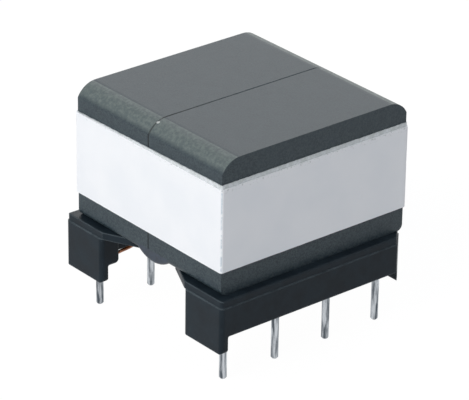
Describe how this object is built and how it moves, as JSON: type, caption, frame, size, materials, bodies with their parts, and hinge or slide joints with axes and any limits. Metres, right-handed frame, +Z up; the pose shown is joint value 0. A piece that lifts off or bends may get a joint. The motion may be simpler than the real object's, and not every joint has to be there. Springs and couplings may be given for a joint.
{
  "type": "pcb transformer",
  "caption": "Through-hole ferrite transformer: two core halves on a moulded horizontal bobbin, bound with white film tape, standing on rows of tinned round pins.",
  "frame": {"origin": "middle of the pin grid, level with the pin tips", "axes": "+X along the winding axis, towards the rail with the cut corner; +Y along the pin rows; +Z up, away from the board"},
  "size_m": [0.019, 0.0188, 0.0187],
  "materials": {
    "ferrite": "fired manganese-zinc ferrite, ground flat, dull dark blue-grey",
    "moulding": "black moulded phenolic, fine satin",
    "tinned_pin": "tin-plated wire, bright with fine drawing marks",
    "solder": "cooled solder, satin grey",
    "magnet_wire": "enamelled copper, glossy red-brown",
    "core_film": "white polyester film tape, smooth satin",
    "winding_film": "amber polyester film tape, glossy",
    "adhesive": "cured dark epoxy, glossy"
  },
  "bodies": {
    "root": {"core_half_left": "ferrite", "core_half_right": "ferrite", "bobbin": "moulding", "pin_1": "tinned_pin", "pin_2": "tinned_pin", "pin_3": "tinned_pin", "pin_4": "tinned_pin", "pin_5": "tinned_pin", "pin_6": "tinned_pin", "pin_7": "tinned_pin", "pin_8": "tinned_pin", "primary_winding": "magnet_wire", "interlayer_tape": "winding_film", "secondary_winding": "magnet_wire", "winding_wrap_tape": "winding_film", "core_tape_inner": "core_film", "core_tape_outer": "core_film", "adhesive_bead": "adhesive", "lead_1": "magnet_wire", "lead_2": "magnet_wire", "lead_3": "magnet_wire", "lead_4": "magnet_wire", "lead_5": "magnet_wire", "lead_6": "magnet_wire", "lead_7": "magnet_wire", "lead_8": "magnet_wire", "solder_1": "solder", "solder_2": "solder", "solder_3": "solder", "solder_4": "solder", "solder_5": "solder", "solder_6": "solder", "solder_7": "solder", "solder_8": "solder"}
  },
  "joints": []
}
